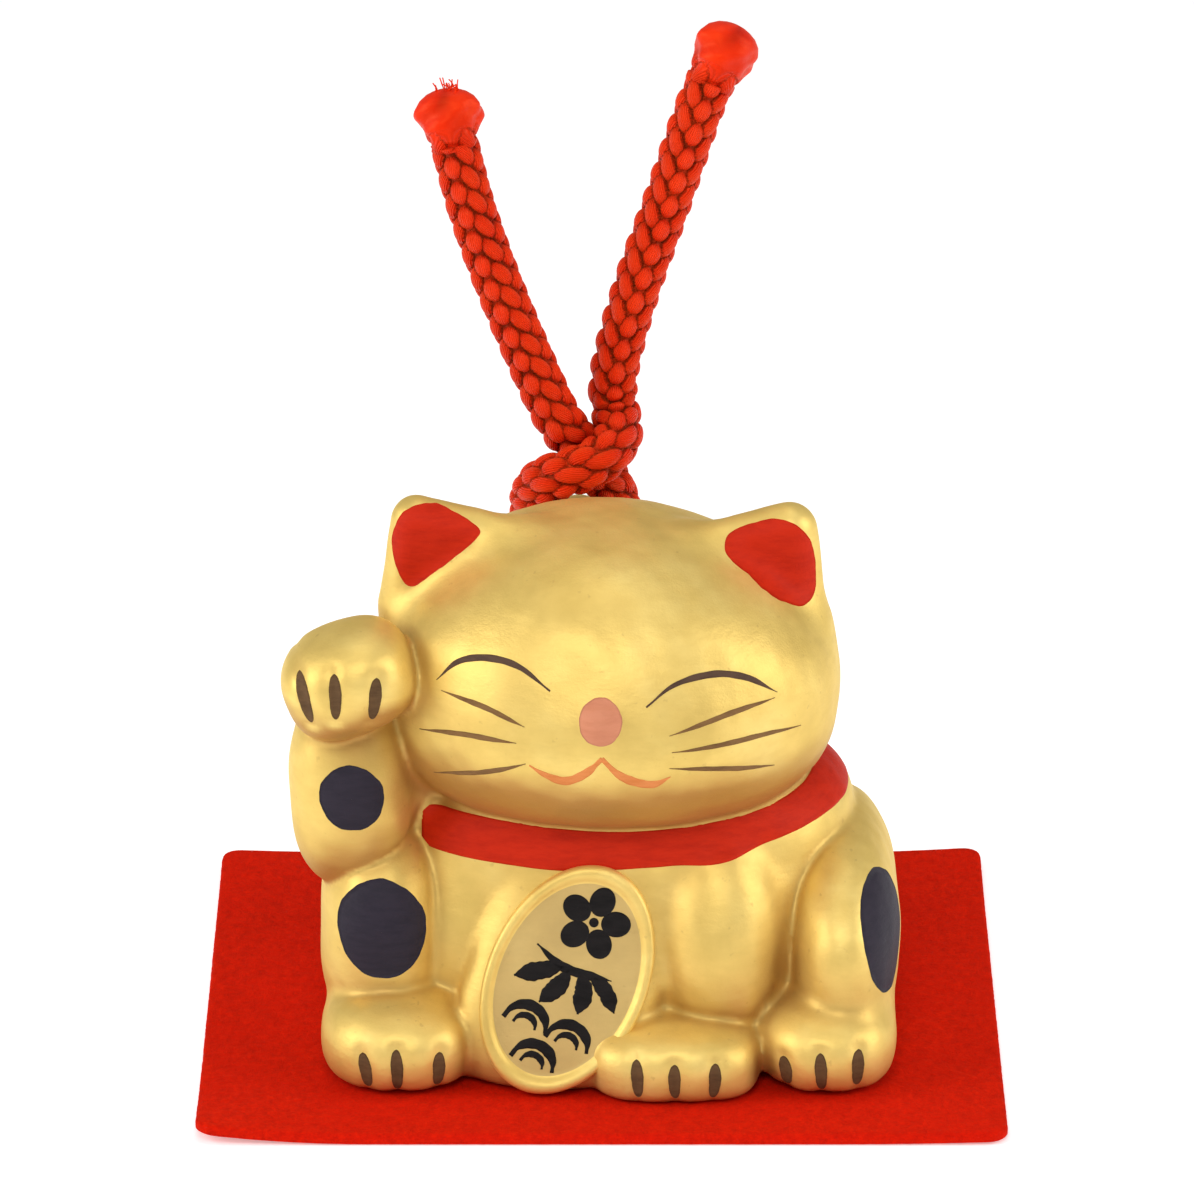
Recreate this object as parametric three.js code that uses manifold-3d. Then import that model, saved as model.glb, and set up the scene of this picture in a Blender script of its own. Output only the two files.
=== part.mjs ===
// A hollow clay bell in the shape of a beckoning cat, standing on a felt mat, with a braided cord
// looped through a clay lug behind its head. Millimetres, +Z up, the cat faces -Y.
// The origin is the middle of the mat's underside.
import * as THREE from 'three';
import { mergeVertices } from 'three/addons/utils/BufferGeometryUtils.js';
import Module from 'manifold-3d';

const wasm = await Module();
wasm.setup();

// Driving dimensions
const MAT_WIDTH = 70;
const MAT_DEPTH = 60;
const MAT_THICK = 1;
const MAT_CORNER = 2;
const REST_GAP = 0.1;            // between the mat and the feet
const GAP = 0.3;                 // between pieces that are luted or laid together
const SEAM_Y = 2;                // plane where the front and back halves of the mould meet
const HEAD = { centre: [0.5, -3, 33.8], radii: [20.3, 17, 13.2], turn: [0, 1.5, 0], square: 2.4 };
const PELLET_RADIUS = 4;
const PELLET_AT = [1, 6, 9.2];
const FLOOR_Z = 5;               // inside floor of the bell
const SLOT_WIDTH = 2.5;
const SLOT_HALF_LENGTH = 11;     // from the middle to the centre of each end hole
const SLOT_HOLE_RADIUS = 3.1;
const SLOT_Y = -4;
const KOBAN = { centre: [-3, -18.9, 10.6], semi: [7, 10.4], thick: 2.4, lean: -19.4, tilt: 23 };
const KOBAN_RIM = 0.9;
const KOBAN_SUNK = 0.5;         // how far the coin's face lies below its rim
const LUG_AT = [-2, 16.7, 36];
const LUG_RING = 4;
const LUG_ROD = 1.3;
const LUG_WIDEN = 1.5;           // the rod is pressed flat, so that it is wider along the hole
const CORD_DIAMETER = 4.2;
const CORD_SIDES = 8;
const TAIL_STEPS = 8;
const LOOP_STEPS = 14;
const KNOT = { centre: [-2.8, 12.5, 47.1], radii: [6, 4.3, 4.3] };
const TIP_RADII = [2.9, 2.3, 3.2];

const ROUND_SIDES = 18;          // sides round a lump of clay
const SMALL_SIDES = 14;          // sides round a small one
const FAR = 100;

const gold = { color: 0xd9b65c, roughness: 0.42, metalness: 0.55 };
const bareClay = { color: 0xb5835a, roughness: 0.9, metalness: 0 };
const coinGold = { color: 0xc9ac68, roughness: 0.6, metalness: 0.3 };
const redFelt = { color: 0xcd1e05, roughness: 0.95, metalness: 0 };
const redCord = { color: 0xc8200c, roughness: 0.5, metalness: 0 };

const object = new THREE.Group();

function place(geometry, centre, turn = [0, 0, 0]) {
  const euler = new THREE.Euler(...turn.map(THREE.MathUtils.degToRad));
  geometry.applyMatrix4(new THREE.Matrix4().makeRotationFromEuler(euler));
  return geometry.translate(...centre);
}

function solidOf(geometry) {
  const bare = geometry.clone();
  bare.deleteAttribute('normal');
  bare.deleteAttribute('uv');
  const merged = mergeVertices(bare, 1e-4);
  const mesh = new wasm.Mesh({
    numProp: 3,
    vertProperties: Float32Array.from(merged.attributes.position.array),
    triVerts: Uint32Array.from(merged.index.array),
  });
  return new wasm.Manifold(mesh);
}

function geometryOf(solid) {
  const mesh = solid.getMesh();
  const geometry = new THREE.BufferGeometry();
  geometry.setAttribute('position', new THREE.BufferAttribute(mesh.vertProperties, 3));
  geometry.setIndex(new THREE.BufferAttribute(mesh.triVerts, 1));
  geometry.computeVertexNormals();
  return geometry;
}

function addPiece(name, shape, look) {
  const geometry = shape.isBufferGeometry ? shape : geometryOf(shape);
  const mesh = new THREE.Mesh(geometry, new THREE.MeshStandardMaterial(look));
  mesh.name = name;
  object.add(mesh);
}

// A rounded lump of clay. With square = 2 it is an ellipsoid, and a higher number fills its corners.
function lump({ centre, radii, turn = [0, 0, 0], square = 2, grow = 0, sides = ROUND_SIDES }) {
  const geometry = new THREE.SphereGeometry(1, sides, Math.ceil(sides * 0.6));
  const vertices = geometry.attributes.position;
  const point = new THREE.Vector3();
  for (let i = 0; i < vertices.count; i += 1) {
    point.fromBufferAttribute(vertices, i);
    const size = point.toArray().reduce((sum, value) => sum + Math.abs(value) ** square, 0);
    point.divideScalar(size ** (1 / square));
    vertices.setXYZ(i, point.x, point.y, point.z);
  }
  geometry.rotateX(Math.PI / 2);
  geometry.scale(...radii.map((radius) => radius + grow));
  return solidOf(place(geometry, centre, turn));
}

function box(low, high) {
  const size = high.map((value, i) => value - low[i]);
  const middle = high.map((value, i) => (value + low[i]) / 2);
  return solidOf(new THREE.BoxGeometry(...size).translate(...middle));
}

function joined(solids) {
  return solids.reduce((whole, next) => whole.add(next));
}

// An ear is a thick rounded triangle standing in the XZ plane.
function ear(corners, thick, y) {
  const shape = new THREE.Shape(corners.map(([x, z]) => new THREE.Vector2(x, z)));
  const bevel = 1.6;
  const geometry = new THREE.ExtrudeGeometry(shape, {
    depth: thick - 2 * bevel,
    bevelThickness: bevel,
    bevelSize: bevel,
    bevelSegments: 3,
  });
  geometry.translate(0, 0, bevel - thick / 2);
  geometry.rotateX(Math.PI / 2);
  return solidOf(geometry.translate(0, y, 0));
}

// The outer form of the cat, before it is hollowed
const bodyLumps = [
  { centre: [0.9, 0.4, 8.5], radii: [24.2, 17.8, 14.5], square: 2.8 },
  { centre: [-2, -11.5, 2.5], radii: [15, 9.8, 4.5], square: 2.4 },
  { centre: [1.6, -1.5, 19.5], radii: [20.6, 14.4, 8], square: 2.4 },
];
const coinPad = {
  centre: [-3, -16.7, 10],
  radii: [8.3, 3, 11.5],
  turn: [KOBAN.lean, KOBAN.tilt, 0],
  square: 2.6,
};
const rightHaunch = { centre: [20.9, -4.5, 9.8], radii: [5.4, 16, 10.4], square: 2.35 };
const plantedLeg = { centre: [10.2, -12.9, 12.4], radii: [5.9, 6.9, 9.8], turn: [-12, 0, 0], square: 2.1 };
const plantedPaw = { centre: [6.3, -18, 3], radii: [7.5, 6.7, 4], square: 3.1 };
const rightFoot = { centre: [19.6, -15.6, 3.6], radii: [6.3, 8, 4.6], turn: [0, 0, 4], square: 3 };
const leftHaunch = { centre: [-19, -8.6, 11.2], radii: [5.7, 8.9, 10.4], square: 2.4 };
const leftFoot = { centre: [-17.7, -15.3, 3.8], radii: [6.9, 8.1, 4.7], square: 2.9 };
const forearm = { centre: [-21.8, -9.5, 25.3], radii: [5.4, 6.4, 9.4], square: 2.4 };
const wrist = { centre: [-21.4, -6, 31], radii: [5, 5.4, 8] };
const armpit = { centre: [-17.5, -5, 26.5], radii: [5, 6, 10] };
const raisedPaw = { centre: [-21.8, -12.8, 36.4], radii: [5.8, 5.9, 4.6], turn: [0, -21, 0], square: 2.5 };
const muzzle = { centre: [0.3, -16.5, 31.8], radii: [10.5, 4.8, 5.2] };
const nose = { centre: [-0.1, -20.7, 35.4], radii: [1.8, 1.1, 1.8], sides: SMALL_SIDES };
const tail = { centre: [8, 17.6, 6], radii: [10.5, 4.2, 4], turn: [0, -16, -14], square: 2.2 };
const ears = [
  ear([[-17.6, 39.4], [-16.4, 46.9], [-14.6, 47.3], [-6.9, 44.2]], 4.6, -2.4),
  ear([[18, 38.2], [16.9, 46.2], [15, 46.7], [8, 43.6]], 4.6, -2.4),
];
const lumps = [...bodyLumps, coinPad, rightHaunch, plantedLeg, plantedPaw, rightFoot, leftHaunch,
  leftFoot, forearm, wrist, armpit, raisedPaw, muzzle, nose, tail, HEAD];
const outside = joined([...lumps.map(lump), ...ears]);

// The hollow runs from the flat inside floor up through the neck into the head.
const chamber = joined([
  lump({ centre: [1, 0, 11], radii: [19.5, 15, 9.5], square: 3 }),
  lump({ centre: [1, -2, 21], radii: [14, 9.5, 8] }),
  lump({ ...HEAD, grow: -3.4 }),
]).subtract(box([-FAR, -FAR, -FAR], [FAR, FAR, FLOOR_Z]));

// The sound slot: a narrow slit in the base with a round hole at each end
function soundSlot() {
  const low = MAT_THICK - 1;
  const high = FLOOR_Z + 1;
  const slit = box([1 - SLOT_HALF_LENGTH, SLOT_Y - SLOT_WIDTH / 2, low],
    [1 + SLOT_HALF_LENGTH, SLOT_Y + SLOT_WIDTH / 2, high]);
  const holes = [-1, 1].map((side) => {
    const hole = new THREE.CylinderGeometry(SLOT_HOLE_RADIUS, SLOT_HOLE_RADIUS, high - low, 20);
    hole.rotateX(Math.PI / 2);
    return solidOf(hole.translate(1 + side * SLOT_HALF_LENGTH, SLOT_Y, (low + high) / 2));
  });
  return joined([slit, ...holes]);
}

// The koban is an oval coin with a raised rim, leaned back on the belly. It is turned from a round
// blank, which is stretched to an oval.
function koban(grow) {
  const half = KOBAN.thick / 2 + grow;
  const edge = 1 + grow / KOBAN.semi[0];
  const inner = 1 - KOBAN_RIM / KOBAN.semi[0];
  const sunk = half - KOBAN_SUNK;
  const outline = [
    [0, -half], [edge, -half], [edge, half], [inner, half], [inner - 0.05, sunk], [0, sunk],
  ];
  const blank = new THREE.LatheGeometry(outline.map(([x, y]) => new THREE.Vector2(x, y)), 32);
  blank.rotateX(Math.PI);
  blank.scale(KOBAN.semi[0], 1, KOBAN.semi[1]);
  return solidOf(place(blank, KOBAN.centre, [KOBAN.lean, KOBAN.tilt, 0]));
}

const restBlock = box([-FAR, -FAR, -FAR], [FAR, FAR, MAT_THICK + REST_GAP]);
const seat = koban(GAP);
const bell = outside.subtract(restBlock).subtract(chamber).subtract(soundSlot()).subtract(seat);
const inFront = box([-FAR, -FAR, -FAR], [FAR, SEAM_Y - GAP / 2, FAR]);
const behind = box([-FAR, SEAM_Y + GAP / 2, -FAR], [FAR, FAR, FAR]);

function feltMat() {
  const [w, d, r] = [MAT_WIDTH / 2, MAT_DEPTH / 2, MAT_CORNER];
  const outline = new THREE.Shape();
  outline.absarc(w - r, d - r, r, 0, Math.PI / 2);
  outline.absarc(r - w, d - r, r, Math.PI / 2, Math.PI);
  outline.absarc(r - w, r - d, r, Math.PI, 1.5 * Math.PI);
  outline.absarc(w - r, r - d, r, 1.5 * Math.PI, 2 * Math.PI);
  const options = { depth: MAT_THICK, bevelEnabled: false, curveSegments: 5 };
  return new THREE.ExtrudeGeometry(outline, options);
}

// The lug is a ring of clay rod on edge. Its inner side is cut away where it is luted on the head.
function cordLug() {
  const ring = new THREE.TorusGeometry(LUG_RING, LUG_ROD, 10, 24);
  ring.rotateY(Math.PI / 2);
  ring.scale(LUG_WIDEN, 1, 1);
  ring.translate(...LUG_AT);
  return solidOf(ring).subtract(lump({ ...HEAD, grow: GAP }));
}

// The cord passes through the lug, and both of its legs rise behind the head into the knot.
const loopRoute = [[-6, 12.6, 44.2], [-6.7, 14.8, 41.6], [-6.4, 16.2, 38.8], [-4.7, 16.7, 36.6],
  [-2, 16.7, 36], [0.7, 16.7, 36.6], [2.2, 16.4, 38.8], [2.1, 15.6, 41.6], [0.8, 14.2, 44.4]];
const leftTailRoute = [[-2.8, 12.4, 48.4], [-4, 12.2, 51], [-6.5, 12.5, 56.7], [-9.2, 13, 63.5],
  [-11.4, 13.5, 70], [-12.9, 14, 75.9]];
const rightTailRoute = [[0.2, 14.2, 49], [0.8, 14.6, 52], [3.2, 15, 62.4], [5.8, 15.5, 70],
  [8.4, 15.9, 78], [9.6, 16.1, 81]];

function cord(route, steps) {
  const path = new THREE.CatmullRomCurve3(route.map((point) => new THREE.Vector3(...point)));
  const section = new THREE.Shape().absarc(0, 0, CORD_DIAMETER / 2, 0, 2 * Math.PI);
  const options = { steps, extrudePath: path, curveSegments: CORD_SIDES };
  return solidOf(new THREE.ExtrudeGeometry(section, options));
}

const knot = lump(KNOT);
const clearOfKnot = lump({ ...KNOT, grow: GAP });

function tip(route) {
  const end = route.at(-1);
  const middle = [end[0], end[1], end[2] + TIP_RADII[2] - 1];
  const swell = { centre: middle, radii: TIP_RADII, square: 2.4, sides: SMALL_SIDES };
  return { whole: lump(swell), clear: lump({ ...swell, grow: GAP }) };
}

const leftTip = tip(leftTailRoute);
const rightTip = tip(rightTailRoute);
const leftTail = cord(leftTailRoute, TAIL_STEPS).subtract(clearOfKnot).subtract(leftTip.clear);
const rightTail = cord(rightTailRoute, TAIL_STEPS).subtract(clearOfKnot).subtract(rightTip.clear);
const pelletBall = {
  centre: PELLET_AT,
  radii: [PELLET_RADIUS, PELLET_RADIUS, PELLET_RADIUS],
  sides: SMALL_SIDES,
};

addPiece('felt_mat', feltMat(), redFelt);
addPiece('front_shell', bell.intersect(inFront), gold);
addPiece('back_shell', bell.intersect(behind), gold);
addPiece('koban_coin', koban(0).subtract(restBlock), coinGold);
addPiece('cord_lug', cordLug(), gold);
addPiece('rattle_pellet', lump(pelletBall), bareClay);
addPiece('cord_loop', cord(loopRoute, LOOP_STEPS).subtract(clearOfKnot), redCord);
addPiece('cord_knot', knot, redCord);
addPiece('cord_tail_left', leftTail, redCord);
addPiece('cord_tail_right', rightTail, redCord);
addPiece('cord_tip_left', leftTip.whole, redCord);
addPiece('cord_tip_right', rightTip.whole, redCord);

export default object;
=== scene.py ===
import math

import bpy
import numpy as np
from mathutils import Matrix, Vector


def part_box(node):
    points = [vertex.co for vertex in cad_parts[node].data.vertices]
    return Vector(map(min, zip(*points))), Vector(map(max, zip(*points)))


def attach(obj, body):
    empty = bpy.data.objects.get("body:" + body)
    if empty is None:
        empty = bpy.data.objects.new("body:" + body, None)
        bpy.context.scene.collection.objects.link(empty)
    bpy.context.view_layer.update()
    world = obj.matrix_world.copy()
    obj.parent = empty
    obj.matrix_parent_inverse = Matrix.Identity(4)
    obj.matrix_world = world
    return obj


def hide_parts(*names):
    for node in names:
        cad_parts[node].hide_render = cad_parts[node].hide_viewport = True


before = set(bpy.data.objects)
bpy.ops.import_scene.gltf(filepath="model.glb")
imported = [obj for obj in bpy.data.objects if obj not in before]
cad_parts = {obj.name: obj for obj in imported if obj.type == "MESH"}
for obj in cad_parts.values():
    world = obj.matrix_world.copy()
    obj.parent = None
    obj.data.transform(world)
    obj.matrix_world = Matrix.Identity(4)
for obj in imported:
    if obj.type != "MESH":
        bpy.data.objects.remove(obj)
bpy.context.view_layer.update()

# The cat, the coin, the cord and the mat are described in millimetres, and each mesh is made in metres.
MM = 0.001
SEED = 7
MAT_THICK = 1.0
REST_Z = 1.1              # underside of the feet
SEAM_Y = 2.0              # where the front and back shells meet
SEAM_HALF_GAP = 0.012
FLOOR_Z = 5.0             # inside floor of the bell
LUG_AT = (-2.0, 16.7, 36.0)

# ---------------------------------------------------------------- camera

CAMERA_RISE = math.radians(22.27)
CAMERA_RANGE = 0.7448
CAMERA_TARGET = (-0.0004, 0.0, 0.03868)
CAMERA_LENS = 256.5


def make_camera():
    data = bpy.data.cameras.new("camera")
    data.lens = CAMERA_LENS
    data.sensor_width = 36
    data.clip_start = 0.05
    data.clip_end = 20
    camera = bpy.data.objects.new("camera", data)
    bpy.context.scene.collection.objects.link(camera)
    x, y, z = CAMERA_TARGET
    back, up = math.cos(CAMERA_RISE), math.sin(CAMERA_RISE)
    camera.location = (x, y - CAMERA_RANGE * back, z + CAMERA_RANGE * up)
    camera.rotation_euler = (math.pi / 2 - CAMERA_RISE, 0, 0)
    bpy.context.scene.camera = camera


# ---------------------------------------------------------------- materials


class Look:
    """A material with a Principled shader, and short calls for the nodes in front of it."""

    def __init__(self, name, roughness=0.5, metallic=0.0, **sockets):
        self.material = bpy.data.materials.new(name)
        self.material.use_nodes = True
        self.nodes = self.material.node_tree.nodes
        self.links = self.material.node_tree.links
        self.shader = self.nodes["Principled BSDF"]
        self.shader.inputs["Roughness"].default_value = roughness
        self.shader.inputs["Metallic"].default_value = metallic
        for socket, value in sockets.items():
            self.shader.inputs[socket.replace("_", " ")].default_value = value
        self.place = self.nodes.new("ShaderNodeTexCoord").outputs["Object"]

    def noise(self, per_metre, detail=4, rough=0.55, stretch=(1, 1, 1)):
        mapping = self.nodes.new("ShaderNodeMapping")
        mapping.inputs["Scale"].default_value = stretch
        self.links.new(self.place, mapping.inputs["Vector"])
        node = self.nodes.new("ShaderNodeTexNoise")
        node.inputs["Scale"].default_value = per_metre
        node.inputs["Detail"].default_value = detail
        node.inputs["Roughness"].default_value = rough
        self.links.new(mapping.outputs[0], node.inputs["Vector"])
        return node.outputs["Fac"]

    def attribute(self, name):
        node = self.nodes.new("ShaderNodeAttribute")
        node.attribute_name = name
        return node.outputs["Fac"]

    def ramp(self, value, stops):
        node = self.nodes.new("ShaderNodeValToRGB")
        ramp = node.color_ramp
        while len(ramp.elements) < len(stops):
            ramp.elements.new(0.5)
        for element, (at, colour) in zip(ramp.elements, stops):
            element.position = at
            element.color = (*colour, 1) if hasattr(colour, "__len__") else (colour, colour, colour, 1)
        self.links.new(value, node.inputs["Fac"])
        return node.outputs["Color"]

    def mix(self, share, a, b, kind="MIX"):
        node = self.nodes.new("ShaderNodeMix")
        node.data_type = "RGBA"
        node.blend_type = kind
        for socket, value in (("Factor", share), (6, a), (7, b)):
            self.feed(node.inputs[socket], value)
        return node.outputs[2]

    def maths(self, kind, a, b=0.0):
        node = self.nodes.new("ShaderNodeMath")
        node.operation = kind
        self.feed(node.inputs[0], a)
        self.feed(node.inputs[1], b)
        return node.outputs[0]

    def feed(self, socket, value):
        if isinstance(value, bpy.types.NodeSocket):
            self.links.new(value, socket)
        elif hasattr(value, "__len__") and len(value) == 3:
            socket.default_value = (*value, 1)
        else:
            socket.default_value = value

    def colour(self, value):
        self.feed(self.shader.inputs["Base Color"], value)

    def rough(self, value, low, high):
        node = self.nodes.new("ShaderNodeMapRange")
        node.inputs["To Min"].default_value = low
        node.inputs["To Max"].default_value = high
        self.links.new(value, node.inputs["Value"])
        self.links.new(node.outputs[0], self.shader.inputs["Roughness"])

    def bump(self, *layers):
        """Each layer is a height and how many metres it rises from 0 to 1."""
        normal = None
        for height, rise in layers:
            node = self.nodes.new("ShaderNodeBump")
            node.inputs["Distance"].default_value = rise
            self.links.new(height, node.inputs["Height"])
            if normal is not None:
                self.links.new(normal, node.inputs["Normal"])
            normal = node.outputs["Normal"]
        self.links.new(normal, self.shader.inputs["Normal"])


def gold_look(name, tones, shine, low, high):
    """Satin gold paint on clay: cloudy tone, fine grain, a few worn specks, and painted warm shade in the
    folds and under overhangs.
    """
    look = Look(name, metallic=shine, Specular_IOR_Level=0.35, Specular_Tint=(1.0, 0.9, 0.6, 1))
    cloud = look.noise(150, 5)
    streak = look.noise(420, 4, 0.6, (1, 1, 2.6))
    grain = look.noise(3800, 3, 0.7)
    speck = look.noise(1250, 2, 0.5)
    tone = look.ramp(cloud, [(0.3, tones[0]), (0.52, tones[1]), (0.74, tones[2])])
    tone = look.mix(look.ramp(streak, [(0.42, 0.0), (0.7, 0.35)]), tone, tones[0])
    tone = look.mix(look.ramp(speck, [(0.69, 0.0), (0.76, 0.4)]), tone, tones[3])
    # Painted shade: the per-point share turns the gold towards a warm brown in folds, on undersides and low
    # on the feet.
    tone = look.mix(look.attribute("painted_shade"), tone, tones[4])
    look.colour(tone)
    look.rough(look.mix(0.35, cloud, grain), low, high)
    look.bump((grain, 0.00002), (streak, 0.00005), (cloud, 0.0001))
    return look.material


def paint_look(name, colour, dark, roughness=0.6):
    """Hand-laid matt paint: brush streaks that let a little of the darker tone through."""
    look = Look(name, Specular_IOR_Level=0.12)
    streak = look.noise(700, 5, 0.65, (0.5, 1, 2.2))
    grain = look.noise(4200, 3, 0.7)
    tone = look.ramp(streak, [(0.3, dark), (0.58, colour)])
    look.colour(tone)
    look.rough(grain, roughness - 0.08, roughness + 0.1)
    look.bump((grain, 0.00002), (streak, 0.00005))
    return look.material


def cord_look(name):
    """Satin braid: each strand shows its own parallel threads, with painted shade in the valleys beside it
    and between the threads, and a painted highlight on its crest.
    """
    look = Look(name, Specular_IOR_Level=0.9, Specular_Tint=(1.0, 0.22, 0.06, 1), Sheen_Weight=0.35,
                Sheen_Roughness=0.35, Sheen_Tint=(1.0, 0.16, 0.03, 1))
    across = look.attribute("across")
    height = look.attribute("height")
    threads = look.maths("SINE", look.maths("MULTIPLY", across, 34.0))
    fuzz = look.noise(2600, 4, 0.7)
    cloud = look.noise(240, 3)
    # Painted light: low points of the braid darken towards a deep red and its crests brighten to orange-red.
    tone = look.ramp(height, [(0.0, (0.15, 0.003, 0.001)), (0.4, (0.64, 0.009, 0.001)),
                              (1.0, (1.0, 0.026, 0.002))])
    tone = look.mix(look.ramp(cloud, [(0.35, 0.0), (0.7, 0.5)]), tone, (1.0, 0.045, 0.004))
    # Painted shade in the grooves between the threads.
    tone = look.mix(look.maths("MULTIPLY", look.maths("ADD", threads, 1.0), 0.1), tone, (0.2, 0.003, 0.001))
    look.colour(tone)
    look.rough(fuzz, 0.32, 0.58)
    look.bump((threads, 0.00004), (fuzz, 0.00004))
    return look.material


def felt_look(name):
    look = Look(name, Specular_IOR_Level=0.05, Sheen_Weight=0.12, Sheen_Tint=(1.0, 0.12, 0.02, 1))
    cloud = look.noise(120, 4)
    fibre = look.noise(1500, 6, 0.75, (1, 0.6, 1))
    cross = look.noise(1500, 6, 0.75, (0.6, 1, 1))
    tone = look.ramp(fibre, [(0.3, (0.48, 0.006, 0.001)), (0.6, (0.72, 0.011, 0.001)),
                             (0.8, (0.84, 0.022, 0.002))])
    tone = look.mix(look.ramp(cloud, [(0.3, 0.0), (0.7, 0.45)]), tone, (0.68, 0.007, 0.001))
    look.colour(tone)
    look.rough(cross, 0.78, 0.98)
    look.bump((fibre, 0.00018), (cross, 0.00014))
    return look.material


def clay_look(name):
    look = Look(name)
    cloud = look.noise(260, 5)
    grit = look.noise(2600, 4, 0.7)
    look.colour(look.ramp(cloud, [(0.3, (0.36, 0.19, 0.1)), (0.7, (0.52, 0.31, 0.18))]))
    look.rough(grit, 0.8, 0.95)
    look.bump((grit, 0.00008), (cloud, 0.0002))
    return look.material


def make_looks():
    # The last tone of each list is the brown of the painted shade; the one before it is for the worn specks.
    golds = [(0.72, 0.50, 0.13), (0.84, 0.60, 0.17), (0.90, 0.68, 0.22), (0.56, 0.36, 0.10),
             (0.46, 0.235, 0.062)]
    pales = [(0.52, 0.36, 0.13), (0.60, 0.42, 0.15), (0.66, 0.48, 0.18), (0.46, 0.31, 0.11), (0.5, 0.3, 0.1)]
    return {
        "gold_clay": gold_look("gold_clay", golds, 0.5, 0.4, 0.54),
        "matt_gold": gold_look("matt_gold", pales, 0.12, 0.5, 0.66),
        "red_paint": paint_look("red_paint", (0.56, 0.020, 0.003), (0.46, 0.014, 0.002), 0.55),
        "dark_paint": paint_look("dark_paint", (0.030, 0.024, 0.036), (0.023, 0.019, 0.029), 0.55),
        "ink_paint": paint_look("ink_paint", (0.012, 0.010, 0.010), (0.006, 0.005, 0.005), 0.5),
        "brown_paint": paint_look("brown_paint", (0.22, 0.115, 0.042), (0.15, 0.075, 0.028), 0.6),
        "claw_paint": paint_look("claw_paint", (0.13, 0.07, 0.03), (0.085, 0.045, 0.02), 0.6),
        "eye_paint": paint_look("eye_paint", (0.10, 0.056, 0.036), (0.06, 0.033, 0.022), 0.55),
        "pink_paint": paint_look("pink_paint", (0.62, 0.24, 0.135), (0.57, 0.21, 0.115), 0.5),
        "orange_paint": paint_look("orange_paint", (0.72, 0.25, 0.075), (0.64, 0.2, 0.05), 0.55),
        "bare_clay": clay_look("bare_clay"),
        "red_cord": cord_look("red_cord"),
        "red_felt": felt_look("red_felt"),
    }


# ---------------------------------------------------------------- meshes


def make_piece(name, points, faces, look, body, attributes=None, replaces=()):
    """A mesh from points in millimetres, riding on a body, with values per point for its material."""
    mesh = bpy.data.meshes.new(name)
    mesh.from_pydata((np.asarray(points, float) * MM).tolist(), [], [list(map(int, f)) for f in faces])
    for key, values in (attributes or {}).items():
        layer = mesh.attributes.new(key, "FLOAT", "POINT")
        layer.data.foreach_set("value", np.asarray(values, np.float32))
    mesh.polygons.foreach_set("use_smooth", [True] * len(mesh.polygons))
    mesh.materials.append(look)
    mesh.validate()
    piece = bpy.data.objects.new(name, mesh)
    bpy.context.scene.collection.objects.link(piece)
    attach(piece, body)
    if replaces:
        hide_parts(*replaces)
    return piece


def grid_faces(rows, columns, wrap=False):
    """Quads between rows of points. With wrap, each row closes on itself."""
    i, j = np.meshgrid(np.arange(rows - 1), np.arange(columns if wrap else columns - 1), indexing="ij")
    a = i * columns + j
    b = i * columns + (j + 1) % columns
    return np.stack([a, b, b + columns, a + columns], -1).reshape(-1, 4)


def with_caps(faces, total, sides, first_way=-1):
    """The faces of rings of points, closed by one face over the first ring and one over the last."""
    return [tuple(f) for f in faces] + [tuple(range(sides))[::first_way], tuple(range(total - sides, total))]


def unit(v):
    return v / np.maximum(np.linalg.norm(v, axis=-1, keepdims=True), 1e-12)


def spline(points, count, closed=False):
    """Points evenly spaced along a Catmull-Rom curve through the given ones."""
    p = np.asarray(points, float)
    p = np.vstack([p[-1], p, p[0], p[1]]) if closed else np.vstack([2 * p[0] - p[1], p, 2 * p[-1] - p[-2]])
    pieces = []
    t = np.linspace(0, 1, 60, endpoint=False)[:, None]
    for a, b, c, d in zip(p, p[1:], p[2:], p[3:]):
        pieces.append(0.5 * (2 * b + (c - a) * t + (2 * a - 5 * b + 4 * c - d) * t**2
                             + (3 * b - a - 3 * c + d) * t**3))
    line = np.vstack(pieces + [p[-2][None]])
    gone = np.concatenate([[0], np.cumsum(np.linalg.norm(np.diff(line, axis=0), axis=1))])
    at = np.linspace(0, gone[-1], count, endpoint=not closed)
    return np.stack([np.interp(at, gone, line[:, k]) for k in range(line.shape[1])], -1)


def length_of(line):
    return float(np.linalg.norm(np.diff(line, axis=0), axis=1).sum())


# ---------------------------------------------------------------- cord

BRAID_PITCH = 2.3         # from one bead to the next in a column
BRAID_COLUMNS = 8
BEAD_LONG, BEAD_WIDE = 1.06, 0.95         # the round beads, in every other column
STRAND_LONG, STRAND_WIDE = 1.42, 0.82      # the slanted strands between them
STRAND_TURN = math.radians(34)
VALLEY_RADIUS = 1.55
CREST_RADIUS = 2.24
RING_STEP = 0.16
RING_SIDES = 84

# Each half of the cord starts in the lug, rises behind the head, goes through the knot and ends in a tail.
RIGHT_HALF = [(-2, 16.7, 36), (-4.2, 16.7, 36.5), (-5.7, 16.3, 38.8), (-6.0, 15.0, 41.4), (-5.7, 12.6, 43.9),
              (-4.4, 10.5, 45.7), (-2.2, 9.5, 46.9), (0.0, 9.9, 47.9), (1.4, 11.9, 49.0), (1.3, 14.4, 50.3),
              (1.0, 15.3, 52.4), (1.5, 15.2, 56.0), (3.2, 15, 62.4), (5.8, 15.5, 70), (8.4, 15.9, 78),
              (9.6, 16.1, 81.0)]
LEFT_HALF = [(-2, 16.7, 36), (0.0, 16.7, 36.5), (1.3, 16.5, 38.8), (1.3, 16.0, 41.4), (0.2, 15.2, 44.2),
             (-1.3, 14.2, 46.6), (-2.9, 13.2, 48.9), (-4.2, 12.5, 51.3), (-6.5, 12.5, 56.7),
             (-9.2, 13, 63.5), (-11.4, 13.5, 70), (-12.9, 14, 75.9)]


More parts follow.
